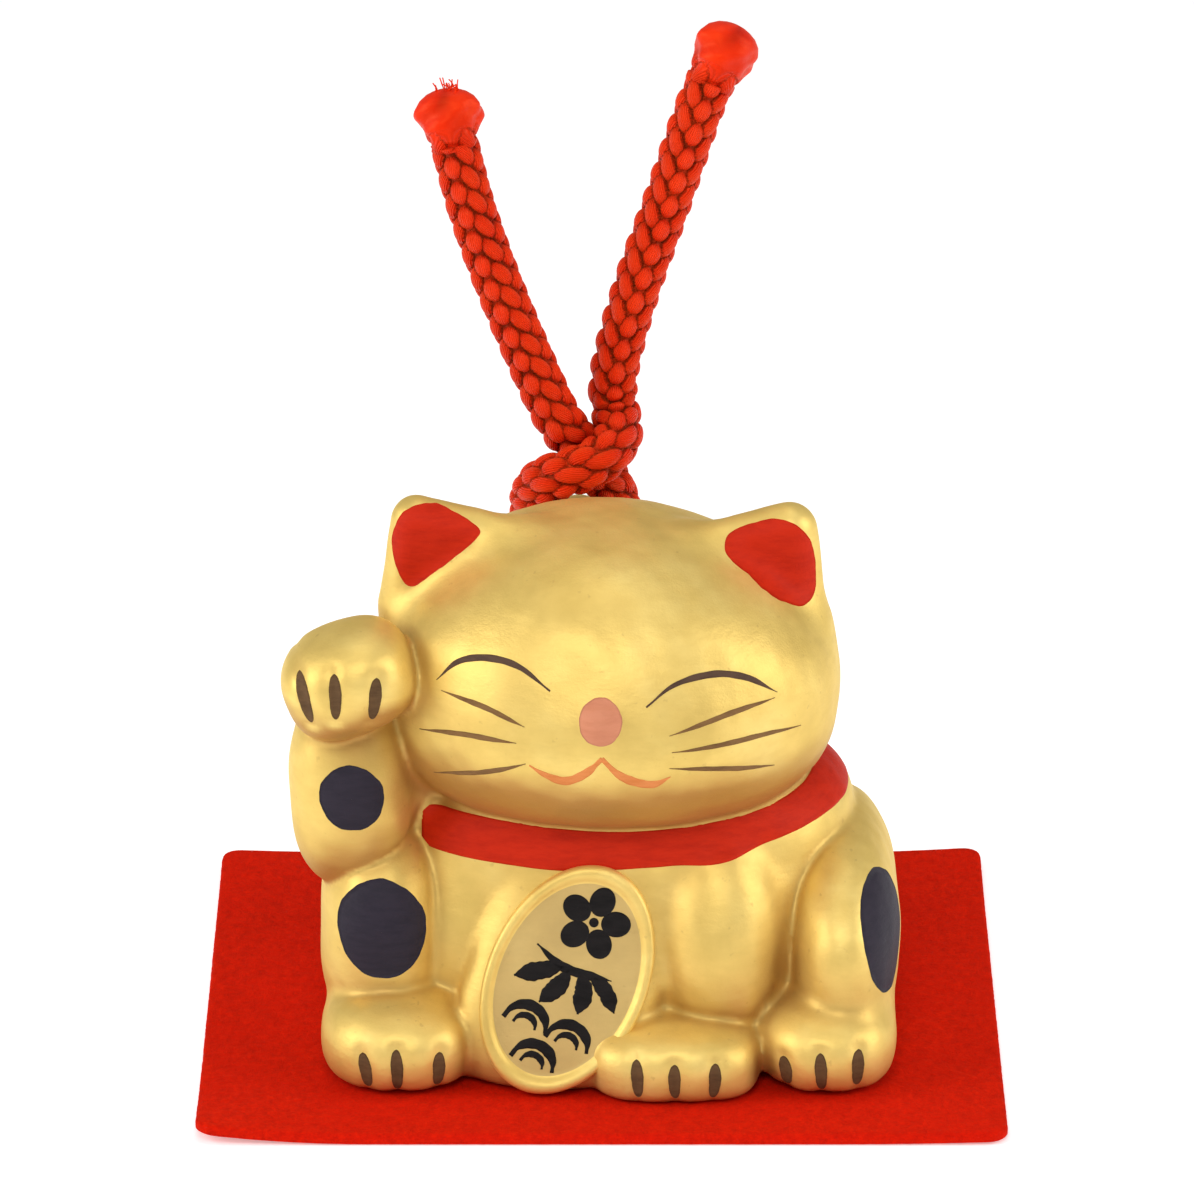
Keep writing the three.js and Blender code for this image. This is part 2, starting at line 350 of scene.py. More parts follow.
def frames_along(line, start=(0, 1, 0)):
    """Two directions square to the line at each point, turning as little as they can."""
    ahead = unit(np.gradient(line, axis=0))
    side = np.empty_like(line)
    side[0] = unit(np.cross(ahead[0], start))
    for i in range(1, len(line)):
        side[i] = unit(side[i - 1] - ahead[i] * (side[i - 1] @ ahead[i]))
    return side, np.cross(ahead, side), ahead


def braid_profile(angle, along):
    """Radius of the braid, and where each point lies across its strand, at an angle round the cord and a
    length along it. Round beads and slanted strands come up in alternate columns, half a pitch apart."""
    radius = np.full(angle.shape, VALLEY_RADIUS)
    across = np.zeros(angle.shape)
    spacing = 2 * math.pi / BRAID_COLUMNS
    for column in range(BRAID_COLUMNS):
        turn, long_size, wide_size = 0.12, BEAD_LONG, BEAD_WIDE
        if column % 2:
            turn = STRAND_TURN * (1 if column % 4 == 1 else -1)
            long_size, wide_size = STRAND_LONG, STRAND_WIDE
        round_way = (angle - column * spacing + math.pi) % (2 * math.pi) - math.pi
        shift = 0.5 * BRAID_PITCH * (column % 2)
        for step in (-1, 0, 1):
            u = round_way * CREST_RADIUS * 0.92
            v = (along - shift + BRAID_PITCH / 2) % BRAID_PITCH - BRAID_PITCH / 2 + step * BRAID_PITCH
            long = u * math.sin(turn) + v * math.cos(turn)
            wide = u * math.cos(turn) - v * math.sin(turn)
            rise = 1 - np.abs(long / long_size) ** 2.2 - np.abs(wide / wide_size) ** 2.2
            bead = VALLEY_RADIUS + (CREST_RADIUS - VALLEY_RADIUS) * np.sqrt(np.maximum(rise, 0))
            higher = bead > radius
            radius = np.where(higher, bead, radius)
            across = np.where(higher, wide / wide_size, across)
    return radius, across


def tube(line, radius_at, sides):
    """A closed tube round a line. radius_at gives (side radius, front radius, extra values) per point."""
    side, front, _ = frames_along(line)
    gone = np.concatenate([[0], np.cumsum(np.linalg.norm(np.diff(line, axis=0), axis=1))])
    angle, along = np.meshgrid(np.arange(sides) * 2 * math.pi / sides, gone)
    across_r, front_r, values = radius_at(angle, along)
    rings = (line[:, None] + (across_r * np.cos(angle))[..., None] * side[:, None]
             + (front_r * np.sin(angle))[..., None] * front[:, None])
    points = np.vstack([rings.reshape(-1, 3), line[0], line[-1]])
    rows = len(line)
    first, last = rows * sides, rows * sides + 1
    faces = list(grid_faces(rows, sides, wrap=True))
    for j in range(sides):
        k = (j + 1) % sides
        faces.append((first, k, j))
        faces.append((last, (rows - 1) * sides + j, (rows - 1) * sides + k))
    values = {key: np.concatenate([v.ravel(), [0, 0]]) for key, v in values.items()}
    return points, faces, values


def cord_half(name, route, look, replaces, start_turn):
    line = spline(route, int(length_of(spline(route, 400)) / RING_STEP))

    def radius_at(angle, along):
        radius, across = braid_profile((angle + start_turn) % (2 * math.pi), along)
        # height carries the painted shade in the valleys and the painted highlight on the crests.
        height = (radius - VALLEY_RADIUS) / (CREST_RADIUS - VALLEY_RADIUS)
        return radius, radius, {"across": across, "height": height}

    points, faces, values = tube(line, radius_at, RING_SIDES)
    piece = make_piece(name, points, faces, look, "cord", values, replaces)
    return piece, line


def cord_tip(name, route, look, node, wide, thick, height, shift):
    """The end of the cord, melted so that it can't fray: it swells, flattens and closes unevenly."""
    line = spline(route, 400)
    ahead = unit(line[-1] - line[-12])
    start = line[-1] - ahead * 0.4
    rows, sides = 46, 72
    at = np.linspace(0, 1, rows)
    middle = start + ahead * (at * height)[:, None] + np.outer(at**1.5, shift)

    def radius_at(angle, along):
        t = along / along.max()
        braid, across = braid_profile(angle, along + 0.6)
        fade = np.clip(1 - t * 2.4, 0, 1)
        swell = np.interp(t, [0, 0.2, 0.4, 0.55, 0.7, 0.82, 0.91, 0.97, 1],
                          [2.15, 2.35, 2.52, 2.56, 2.42, 2.1, 1.6, 0.95, 0.05])
        lumps = (0.08 * np.sin(2 * angle + 4 * t + shift[0] * 9) + 0.07 * np.sin(3 * angle - 8 * t + 1)
                 + 0.05 * np.sin(5 * angle + 3 * np.sin(5 * t)) + 0.02 * np.sin(7 * angle + 9 * t))
        melted = swell * (1 + lumps * np.sin(np.pi * np.clip(t * 1.05, 0, 1)))
        radius = braid * fade + melted * (1 - fade)
        spread = np.clip(t * 1.6, 0, 1)
        # Painted light on the melted tip: its lumps are coloured brighter and its dents darker.
        values = {"across": across * fade, "height": 0.55 + 1.4 * lumps}
        return radius * (1 + (wide - 1) * spread), radius * (1 + (thick - 1) * spread), values

    points, faces, values = tube(middle, radius_at, sides)
    return make_piece(name, points, faces, look, "cord", values, (node,))


def loose_threads(name, top, look, count, seed):
    """Fine ends of thread that stick out of the melted tip."""
    rng = np.random.default_rng(seed)
    points, faces = [], []
    for _ in range(count):
        foot = np.array(top) + rng.normal(0, (0.7, 0.4, 0.15))
        lean = unit(rng.normal(0, 0.35, 3) + (0, 0, 1))
        bend = rng.normal(0, 0.25, 3)
        reach = rng.uniform(0.5, 1.2)
        line = spline([foot - lean * 0.5, foot + lean * reach * 0.4, foot + lean * reach + bend * 0.5], 7)
        more, sheets, _ = tube(line, lambda a, s: (np.full(a.shape, 0.06), np.full(a.shape, 0.06), {}), 5)
        faces += [tuple(int(i) + len(points) for i in f) for f in sheets]
        points += list(more)
    values = {"across": np.zeros(len(points)), "height": np.full(len(points), 0.8)}
    return make_piece(name, points, faces, look, "cord", values)


def make_cord(looks):
    look = looks["red_cord"]
    right, right_line = cord_half("cord_right_half", RIGHT_HALF, look, ("cord_knot", "cord_tail_right"), 0.35)
    left, left_line = cord_half("cord_left_half", LEFT_HALF, look, ("cord_loop", "cord_tail_left"), 0.1)
    right_tip = cord_tip("cord_right_tip", RIGHT_HALF, look, "cord_tip_right", 1.15, 0.92, 5.6, (0.4, 0, 0))
    left_tip = cord_tip("cord_left_tip", LEFT_HALF, look, "cord_tip_left", 1.12, 0.78, 5.4, (0.5, 0, 0))
    frayed = loose_threads("cord_left_threads", (-13.2, 14.4, 80.6), look, 16, SEED)


# ---------------------------------------------------------------- clay forms, as distances in millimetres


def turned(degrees):
    a, b, c = np.radians(degrees)
    about_x = np.array([[1, 0, 0], [0, math.cos(a), -math.sin(a)], [0, math.sin(a), math.cos(a)]])
    about_y = np.array([[math.cos(b), 0, math.sin(b)], [0, 1, 0], [-math.sin(b), 0, math.cos(b)]])
    about_z = np.array([[math.cos(c), -math.sin(c), 0], [math.sin(c), math.cos(c), 0], [0, 0, 1]])
    return about_z @ about_y @ about_x


def lump(p, centre, radii, turn=(0, 0, 0), square=2.0):
    """Distance to a rounded lump. With square = 2 it is an ellipsoid. A higher number fills its corners."""
    q = p - np.array(centre, np.float32)
    if np.any(turn):
        q = q @ (turned(turn) if np.ndim(turn) == 1 else turn).astype(np.float32)
    radii = np.array(radii, np.float32)
    a = np.abs(q) / radii
    if square == 2.0:
        size = np.sqrt((a * a).sum(-1))
        slope = np.sqrt(((a / radii) ** 2).sum(-1))
        return size * (size - 1) / np.maximum(slope, 1e-6)
    total = np.maximum((a**square).sum(-1), 1e-12)
    size = total ** (1 / square)
    slope = np.sqrt(((a ** (square - 1) / radii) ** 2).sum(-1)) / (total / size)
    return (size - 1) / np.maximum(slope, 1e-6)


def triangle(p, a, b, c, radius):
    """Distance to a rounded triangle of clay."""
    a, b, c = (np.array(v, np.float32) for v in (a, b, c))
    edges = (b - a, c - b, a - c)
    normal = np.cross(edges[0], edges[2])
    offsets = (p - a, p - b, p - c)
    side = sum(np.sign(q @ np.cross(e, normal)) for q, e in zip(offsets, edges))
    near = None
    for q, e in zip(offsets, edges):
        share = np.clip((q @ e) / (e @ e), 0, 1)[..., None]
        gap = ((e * share - q) ** 2).sum(-1)
        near = gap if near is None else np.minimum(near, gap)
    flat = (offsets[0] @ normal) ** 2 / (normal @ normal)
    return np.sqrt(np.where(side < 2, near, flat)) - radius


def meld(a, b, soft):
    """Two forms joined, with a fillet of about this size between them."""
    h = np.maximum(soft - np.abs(a - b), 0) / soft
    return np.minimum(a, b) - h * h * soft * 0.25


def carve(a, b, soft):
    return -meld(-a, b, soft)


HEAD_AT, HEAD_SIZE, HEAD_TURN, HEAD_SQUARE = (0.5, -3.0, 33.4), (20.3, 17.0, 13.6), (0, 1.5, 0), 2.4
CHIN_LIFT = 1.08          # how much flatter it is below its middle than above
CHEEK_SPREAD = 0.0035     # how much wider the head gets, per millimetre down
CROWN_TAPER = 0.0015      # how much narrower it gets above its middle, per square millimetre up
NECK_AT, NECK_SIZE = (1.6, -1.5, 19.5), (20.6, 14.4, 8.0)

KOBAN_AT = (-3.0, -18.9, 10.6)
KOBAN_SIZE = (7.0, 10.4)
KOBAN_TURN = turned((-19.4, 0, 0)) @ turned((0, 23, 0))

# Each lump: centre, radii, turn in degrees, square, fillet
BODY = [
    ((0.9, 0.4, 8.5), (24.2, 17.8, 14.5), (0, 0, 0), 2.8, 1.0),
    ((-2.0, -11.5, 2.5), (15.0, 9.8, 4.5), (0, 0, 0), 2.4, 3.0),        # apron between the feet
    (NECK_AT, NECK_SIZE, (0, 0, 0), 2.4, 2.5),
    ((-3.0, -16.7, 10.0), (8.3, 3.0, 11.5), KOBAN_TURN, 2.6, 1.2),      # pad that the coin is pressed into
    ((20.9, -4.5, 9.8), (5.4, 16.0, 10.4), (0, 0, 0), 2.35, 0.5),       # haunch on the right
    ((10.2, -12.9, 12.4), (5.9, 6.9, 9.8), (-12, 0, 0), 2.1, 1.3),    # planted foreleg
    ((6.3, -18.0, 3.0), (7.5, 6.7, 4.0), (0, 0, 0), 3.1, 0.8),          # planted paw
    ((19.5, -15.6, 4.0), (6.2, 8.0, 4.6), (0, 0, 4), 2.4, 1.3),         # hind foot on the right
    ((-19.0, -8.6, 11.2), (5.7, 8.9, 10.4), (0, 0, 0), 2.4, 0.8),       # haunch on the left
    ((-17.6, -15.3, 4.0), (6.9, 8.1, 4.7), (0, 0, 0), 2.4, 0.8),        # hind foot on the left
    ((-21.8, -9.5, 25.3), (5.4, 6.4, 9.4), (0, 0, 0), 2.4, 0.5),        # raised forearm
    ((-21.4, -6.0, 31.0), (5.0, 5.4, 8.0), (0, 0, 0), 2.0, 1.0),        # wrist
    ((-17.5, -5.0, 26.5), (5.0, 6.0, 10.0), (0, 0, 0), 2.0, 1.5),       # upper arm against the head
    ((-21.8, -12.8, 36.4), (5.8, 5.9, 4.6), (0, -21, 0), 2.5, 0.9),     # raised paw
    ((8.0, 17.6, 6.0), (10.5, 4.2, 4.0), (0, -16, -14), 2.2, 2.6),      # tail, curled along the back
]
EARS = [
    ((-17.0, -2.6, 39.6), (-16.0, -2.4, 46.8), (-7.6, -2.4, 44.5)),
    ((17.3, -2.8, 38.4), (16.4, -2.4, 46.1), (8.8, -2.4, 43.9)),
]
EAR_RADIUS = 2.35

# Short strokes of the claws, from top to bottom, as (x, z) on the front of each paw
CLAWS = [
    [(-25.9, 38.4), (-25.5, 36.4), (-24.9, 34.2)],
    [(-22.9, 38.8), (-22.8, 36.9), (-22.8, 34.8)],
    [(-19.3, 38.5), (-19.4, 36.7), (-19.7, 34.6)],
    [(-20.7, 5.2), (-20.4, 3.4), (-20.2, 1.9)],
    [(-17.8, 5.7), (-17.7, 3.6), (-17.7, 1.7)],
    [(-14.1, 5.2), (-14.1, 3.4), (-14.3, 1.9)],
    [(3.0, 5.2), (3.1, 3.4), (3.2, 1.8)],
    [(6.3, 4.9), (6.3, 3.2), (6.4, 1.7)],
    [(9.8, 4.9), (9.8, 3.2), (9.6, 1.7)],
    [(15.8, 4.7), (16.0, 3.2), (16.1, 1.9)],
    [(18.9, 5.5), (19.0, 3.6), (19.1, 1.8)],
    [(22.2, 5.6), (22.2, 3.8), (22.1, 2.2)],
]

CLAW_WIDTH = 1.2
GROOVE_DEPTH, GROOVE_WIDTH = 0.28, 0.65    # of the claws

SLOT_Y, SLOT_HALF_WIDTH, SLOT_HALF_LENGTH, SLOT_HOLE_RADIUS = -4.0, 1.25, 11.0, 3.1
SLOT_X = 1.0


def head_form(p):
    q = p.copy()
    up = p[..., 2] - HEAD_AT[2]
    spread = 1 - CHEEK_SPREAD * up - CROWN_TAPER * np.maximum(up, 0) ** 2
    q[..., 0] = HEAD_AT[0] + (p[..., 0] - HEAD_AT[0]) / spread
    q[..., 2] = HEAD_AT[2] + up * np.where(up < 0, CHIN_LIFT, 1)
    d = lump(q, HEAD_AT, HEAD_SIZE, HEAD_TURN, HEAD_SQUARE)
    d = meld(d, lump(p, (0.3, -16.5, 31.4), (10.5, 4.8, 5.0), HEAD_TURN), 5.0)      # muzzle
    d = meld(d, lump(p, (-0.1, -20.7, 35.4), (1.6, 1.1, 1.6)), 0.6)                 # nose
    for corners in EARS:
        d = meld(d, triangle(p, *corners, EAR_RADIUS), 3.2)
    return d


def claw_grooves(p):
    """How far the clay is pressed in along the claws."""
    depth = np.zeros(p.shape[:-1], np.float32)
    front = p[..., 1] < -9
    q = p[front][:, [0, 2]]
    for first, _, last in CLAWS:
        a, b = np.array(first, np.float32), np.array(last, np.float32)
        share = np.clip((q - a) @ (b - a) / ((b - a) @ (b - a)), 0, 1)[:, None]
        gap = ((a + (b - a) * share - q) ** 2).sum(-1) / GROOVE_WIDTH**2
        depth[front] = np.maximum(depth[front], GROOVE_DEPTH * np.exp(-gap))
    return depth


def unevenness(p):
    """The soft waviness of clay pressed by hand."""
    x, y, z = p[..., 0], p[..., 1], p[..., 2]
    slow = np.sin(0.55 * x + 0.9 * np.sin(0.31 * z)) * np.sin(0.6 * z + 0.4 * y + 1.3)
    quick = np.sin(1.5 * x + 0.7 * z + 2) * np.sin(1.7 * y - 0.9 * z + 0.5 * x)
    return 0.07 * slow + 0.022 * quick


def cat_form(p):
    """The outside of the whole cat."""
    p = np.asarray(p, np.float32)
    d = None
    for centre, radii, turn, square, soft in BODY:
        part = lump(p, centre, radii, turn, square)
        d = part if d is None else meld(d, part, soft)
    d = meld(d, head_form(p), 0.8) + unevenness(p) + claw_grooves(p)
    return carve(d, p[..., 2] - REST_Z, 1.2)


def chamber_form(p):
    d = lump(p, (1, 0, 11), (19.5, 15, 9.5), square=3)
    d = meld(d, lump(p, (1, -2, 21), (14, 9.5, 8)), 1.5)
    d = meld(d, lump(p, HEAD_AT, [r - 3.4 for r in HEAD_SIZE], HEAD_TURN, HEAD_SQUARE), 1.5)
    return np.maximum(d, FLOOR_Z - p[..., 2])


def slot_form(p):
    """The sound slot in the base: a slit with a round hole at each end."""
    x, y = p[..., 0] - SLOT_X, p[..., 1] - SLOT_Y
    slit = np.maximum(np.abs(x) - SLOT_HALF_LENGTH, np.abs(y) - SLOT_HALF_WIDTH)
    holes = np.hypot(np.abs(x) - SLOT_HALF_LENGTH, y) - SLOT_HOLE_RADIUS
    return np.maximum(np.minimum(slit, holes), p[..., 2] - FLOOR_Z - 1)


def bell_form(p):
    p = np.asarray(p, np.float32)
    return np.maximum(np.maximum(cat_form(p), -chamber_form(p)), -slot_form(p))


# ---------------------------------------------------------------- from a form to a mesh


def surface_net(field, low, step):
    """Quads over the zero surface of a grid of distances, one point in each cell that it passes through."""
    inside = field < 0
    shape = np.array(field.shape) - 1
    total = np.zeros((int(shape.prod()), 3))
    hits = np.zeros(int(shape.prod()))
    quads = []
    for axis in range(3):
        b, c = (axis + 1) % 3, (axis + 2) % 3
        first = [slice(None)] * 3
        second = [slice(None)] * 3
        first[axis], second[axis] = slice(0, -1), slice(1, None)
        at = np.argwhere(inside[tuple(first)] != inside[tuple(second)])
        at = at[(at[:, b] > 0) & (at[:, c] > 0) & (at[:, b] < shape[b]) & (at[:, c] < shape[c])]
        here = field[tuple(at.T)]
        on = at.copy()
        on[:, axis] += 1
        there = field[tuple(on.T)]
        point = at.astype(float)
        point[:, axis] += here / (here - there)
        corners = []
        for db, dc in ((1, 1), (0, 1), (0, 0), (1, 0)):
            cell = at.copy()
            cell[:, b] -= db
            cell[:, c] -= dc
            number = np.ravel_multi_index(cell.T, shape)
            corners.append(number)
            hits += np.bincount(number, minlength=len(hits))
            for k in range(3):
                total[:, k] += np.bincount(number, point[:, k], minlength=len(hits))
        quad = np.stack(corners, -1)
        quads.append(np.where((here < 0)[:, None], quad, quad[:, ::-1]))
    quads = np.vstack(quads)
    used, faces = np.unique(quads, return_inverse=True)
    points = total[used] / hits[used][:, None] * step + np.array(low)
    return points, faces.reshape(quads.shape)


def slopes(form, points, reach=0.04):
    out = np.empty((len(points), 3))
    for axis in range(3):
        ahead = np.zeros(3, np.float32)
        ahead[axis] = reach
        out[:, axis] = form(points + ahead) - form(points - ahead)
    return unit(out)


UNDER_SHADE = 2.2                        # of the painted brown shade under the chin and the raised paw
FOLD_SHADE, NECK_FOLD_SHADE = 0.35, 0.55   # painted shade in every fold, and as much again in the one under the head
NECK_FOLD_Z, NECK_FOLD_REACH = 23.8, 2.2
# Painted shade low on the feet, fading out upwards from SOLE_Z over SOLE_REACH
SOLE_SHADE, SOLE_Z, SOLE_REACH = 0.55, 4.4, 3
MOST_PAINTED_SHADE = 0.85


def shade_share(points, reach=1.1):
    """From 0 to 1, how much painted shade each point gets: how much it faces down, or lies in a fold of the
    outside.
    """
    p = np.asarray(points, np.float32)
    out = slopes(cat_form, p)
    fold = np.clip(-(cat_form(p + out * reach) - reach) / (reach * 0.45), 0, 1)
    under = np.clip(-out[:, 2] - 0.05, 0, 0.7) * np.clip((p[:, 2] - 4) / 8, 0, 1)
    neck = np.exp(-((p[:, 2] - NECK_FOLD_Z) / NECK_FOLD_REACH) ** 2)
    sole = np.clip((SOLE_Z - p[:, 2]) / SOLE_REACH, 0, 1)
    return (FOLD_SHADE + NECK_FOLD_SHADE * neck) * fold + UNDER_SHADE * under + SOLE_SHADE * sole


# Soft warm painted shade below the raised paw and round the feet: centre, reach, strength
PAINTED_WARM_SHADES = [
    ((-20.5, -16.0, 31.2), 3.2, 0.8), ((-17.5, -13.5, 27.5), 3.0, 0.5), ((-19.5, -15.5, 21.0), 2.6, 0.45),
    ((-19.5, -17.0, 9.2), 3.2, 0.5), ((15.5, -17.5, 9.5), 3.6, 0.5), ((11.0, -19.0, 8.6), 2.6, 0.35),
    ((21.0, -19.5, 8.6), 2.6, 0.4), ((-9.8, -19.5, 3.0), 2.6, 0.35), ((0.0, -21.0, 2.6), 2.6, 0.35),
    ((14.0, -20.0, 3.5), 2.2, 0.4), ((-13.5, -15.0, 11.5), 2.0, 0.25),
]


# Painted shade per point: warm spots below the paw and round the feet, with the folds, undersides and soles.
def painted_shade_at(points):
    p = np.asarray(points, float)
    warm = np.zeros(len(p))
    for centre, reach, strength in PAINTED_WARM_SHADES:
        warm = np.maximum(warm, strength * np.exp(-((p - centre) ** 2).sum(-1) / reach**2))
    return np.clip(warm * 0.8 + shade_share(p), 0, MOST_PAINTED_SHADE)


NET_STEP, QUICK_NET_STEP = 0.36, 0.6
SHARP_EDGE = math.radians(55)             # only the rims along the seam are sharper


def make_shells(looks):
    step = NET_STEP
    low, high = np.array([-29.0, -27.5, 0.2]), np.array([28.5, 24.5, 50.8])
    counts = np.ceil((high - low) / step).astype(int)
    axes = [low[k] + step * np.arange(counts[k]) for k in range(3)]
    field = np.empty(counts, np.float32)
    for i, x in enumerate(axes[0]):
        y, z = np.meshgrid(axes[1], axes[2], indexing="ij")
        field[i] = bell_form(np.stack([np.full_like(y, x), y, z], -1))
    back_of = np.asarray(axes[1], np.float32)[None, :, None] - SEAM_Y
    for name, node, half, plane in (
            ("front_shell_clay", "front_shell", back_of + SEAM_HALF_GAP, SEAM_Y - SEAM_HALF_GAP),
            ("back_shell_clay", "back_shell", SEAM_HALF_GAP - back_of, SEAM_Y + SEAM_HALF_GAP)):
        points, faces = surface_net(np.maximum(field, half), low, step)
        # Points in the cells that the seam passes through lie on its plane, the rest on the clay's surface.
        on_seam = np.floor((points[:, 1] - low[1]) / step) == np.floor((plane - low[1]) / step)
        points[on_seam, 1] = plane
        edge = on_seam & (np.abs(bell_form(points)) < 0.8 * step)
        free = edge | ~on_seam
        for _ in range(3):
            out = slopes(bell_form, points[free])
            out[edge[free], 1] = 0
            reach = np.clip(bell_form(points[free]), -0.2, 0.2) / np.maximum((out**2).sum(-1), 0.2)
            points[free] -= out * reach[:, None]
        # Each point carries its share of painted shade for the gold's brown tone.
        shell = make_piece(name, points, faces, looks["gold_clay"], "cat",
                           {"painted_shade": painted_shade_at(points)}, (node,))
        shell.data.set_sharp_from_angle(angle=SHARP_EDGE)


# ---------------------------------------------------------------- paint


def landing(start, way, form=cat_form):
    """Where lines that start off the clay meet it, and the way out there."""
    p = np.array(start, np.float32)
    way = np.broadcast_to(np.asarray(way, np.float32), p.shape)
    best, nearest = p.copy(), np.full(len(p), 1e9)
    for _ in range(140):
        gap = form(p)
        closer = np.abs(gap) < nearest
        best[closer], nearest[closer] = p[closer], np.abs(gap)[closer]
        p = p + way * np.clip(gap, -0.5, 1.5)[:, None] * 0.8
    for _ in range(2):
        best = best - slopes(form, best) * form(best)[:, None]
    return best.astype(float), slopes(form, best)


def from_front(flat):
    """(x, z) points carried back onto the front of the cat."""
    flat = np.asarray(flat, float)
    start = np.stack([flat[:, 0], np.full(len(flat), -30.0), flat[:, 1]], -1)
    return landing(start, (0, 1, 0))


def film(grids, carry, proud=0.06, sunk=0.15):
    """Thin closed layers of paint. Each grid is (points, closed): rows of flat points, whose first row is the
    middle when the rows are closed rings, and carry lays flat points on the clay."""
    points, faces = [], []
    for grid, closed in grids:
        rows, columns = grid.shape[:2]
        on, out = carry(grid.reshape(-1, 2))
        lift = np.full((rows, columns), proud)
        if closed:
            lift[-1] = 0.015
        else:
            lift[0], lift[-1] = 0.015, 0.015
            lift[:, 0], lift[:, -1] = 0.015, 0.015
        start = sum(len(p) for p in points)
        count = rows * columns
        points += [on + out * lift.reshape(-1, 1), on - out * sunk]
        number = np.arange(count).reshape(rows, columns)
        if closed:
            rim = number[-1]
            top = grid_faces(rows, columns, wrap=True)
        else:
            rim = np.concatenate([number[0, :-1], number[:-1, -1], number[-1, :0:-1], number[:0:-1, 0]])
            top = grid_faces(rows, columns)
        after = np.roll(rim, -1)
        side = np.stack([rim, rim + count, after + count, after], -1)
        faces.append(np.vstack([top, top[:, ::-1] + count, side]) + start)
    return np.vstack(points), np.vstack(faces)


def outward(points, faces):
    """The faces, turned so that the closed layer's volume is positive."""
    a, b, c, d = (points[faces[:, k]] for k in range(4))
    volume = (np.cross(b - a, c - a) * a).sum() + (np.cross(c - a, d - a) * a).sum()
    return faces if volume > 0 else faces[:, ::-1]


def stroke(route, width, count=36, across=7, start=0.18, end=0.12, wobble=0.04):
    """A brush stroke along a route, thin where the brush lands and lifts. width is at its widest."""
    line = spline(route, count)
    t = np.linspace(0, 1, count)
    ahead = unit(np.gradient(line, axis=0))
    side = np.stack([-ahead[:, 1], ahead[:, 0]], -1)
    body = np.sin(math.pi * np.clip(t / 0.9, 0, 0.5)) * np.sin(math.pi * np.clip((1 - t) / 0.7, 0, 0.5))
    half = 0.5 * width * np.maximum(body, np.where(t < 0.5, start, end))
    half = half * (1 + wobble * np.sin(17 * t + 5 * line[0, 0]) + wobble * np.sin(41 * t + line[0, 1]))
    reach = np.linspace(-1, 1, across)
    return line[:, None] + side[:, None] * (half[:, None] * reach[None])[..., None], False


def patch(outline, count=96, rings=12, ragged=0.0):
    """A painted patch inside a closed outline, as rings from its middle."""
    rim = spline(outline, count, closed=True)
    turn = np.arange(count) / count * 2 * math.pi
    rim = rim + unit(rim - rim.mean(0)) * (ragged * (np.sin(5 * turn + 1) + 0.6 * np.sin(11 * turn)
                                                      + 0.4 * np.sin(23 * turn + 2)))[:, None]
    middle = rim.mean(0)
    share = np.linspace(0.002, 1, rings)[:, None, None]
    return middle + (rim[None] - middle) * share, True


def oval(x, z, wide, high, turn=0.0, sides=10):
    """Points round an oval that is slightly faceted, as a brush leaves it."""
    angle = np.arange(sides) * 2 * math.pi / sides
    u, v = wide * np.cos(angle), high * np.sin(angle)
    return np.stack([x + u * math.cos(turn) - v * math.sin(turn),
                     z + u * math.sin(turn) + v * math.cos(turn)], -1)


def paint(name, grids, look, carry=from_front, proud=0.06):
    points, faces = film(grids, carry, proud)
    return make_piece(name, points, outward(points, faces), look, "cat")


NECK_SLIDE = 18.0         # millimetres per radian of turn below 0


def neck_carry(flat):
    """(turn, height) carried onto the neck. The turn is 0 at the front and grows to +X, round the neck's own
    middle. Below 0 it moves the landing straight to -X instead, past the raised arm's front."""
    turn, height = np.asarray(flat, float).T
    angle, slide = np.maximum(turn, 0), np.minimum(turn, 0) * NECK_SLIDE
    way = np.stack([-np.sin(angle), np.cos(angle), np.zeros(len(turn))], -1)
    start = np.stack([NECK_AT[0] + slide, np.full(len(turn), NECK_AT[1]), height], -1) - way * 30
    return landing(start, way)


COLLAR_FROM, COLLAR_TO = -55, 274         # degrees round the neck from the front
COLLAR_ROWS, COLLAR_COLUMNS = 300, 21
COLLAR_BLUR = 21                          # rows that its edges are smoothed over

# Height of the collar's lower edge, by turn in degrees
COLLAR_LOW = [(-57, 20.2), (-50, 20.0), (-40, 19.8), (-30, 19.7), (-20, 19.6), (-10, 19.6), (0, 19.7),
              (10, 19.8), (20, 20.0), (30, 20.3), (45, 21.1), (60, 21.9), (75, 22.2), (90, 21.9),
              (110, 21.4), (140, 21.2)]
# How far the upper edge lies under the fold below the head, by turn in degrees: most at the arm and behind
COLLAR_TUCK = [(-57, 0.35), (-35, 0.07), (20, 0.07), (60, 0.29)]
FOLD_TURNS = (-40, -20, 0, 20, 40, 60, 80, 110, 140, 180, 260)      # clear of the raised arm


def fold_height(angles):
    """Height of the fold between the neck and the head, where the clay lies deepest, at each turn."""
    heights = np.arange(21.5, 26.5, 0.06)
    flat = np.stack(np.meshgrid(angles, heights, indexing="ij"), -1)
    on, _ = neck_carry(flat.reshape(-1, 2))
    out = np.stack([np.sin(np.maximum(flat[..., 0], 0)), -np.cos(np.maximum(flat[..., 0], 0))], -1)
    reach = (on[:, :2].reshape(*flat.shape) * out).sum(-1)
    return heights[reach.argmin(axis=1)]


def collar_edges(turns):
    """Heights of the collar's lower and upper edges, smoothed, at turns in degrees."""
    low = np.interp(turns, *zip(*COLLAR_LOW))
    folds = fold_height(np.radians(FOLD_TURNS))
    high = np.interp(turns, FOLD_TURNS, folds) - np.interp(turns, *zip(*COLLAR_TUCK))
    blur = np.ones(COLLAR_BLUR) / COLLAR_BLUR
    return (np.convolve(np.pad(edge, COLLAR_BLUR // 2, mode="edge"), blur, mode="valid")
            for edge in (low, high))


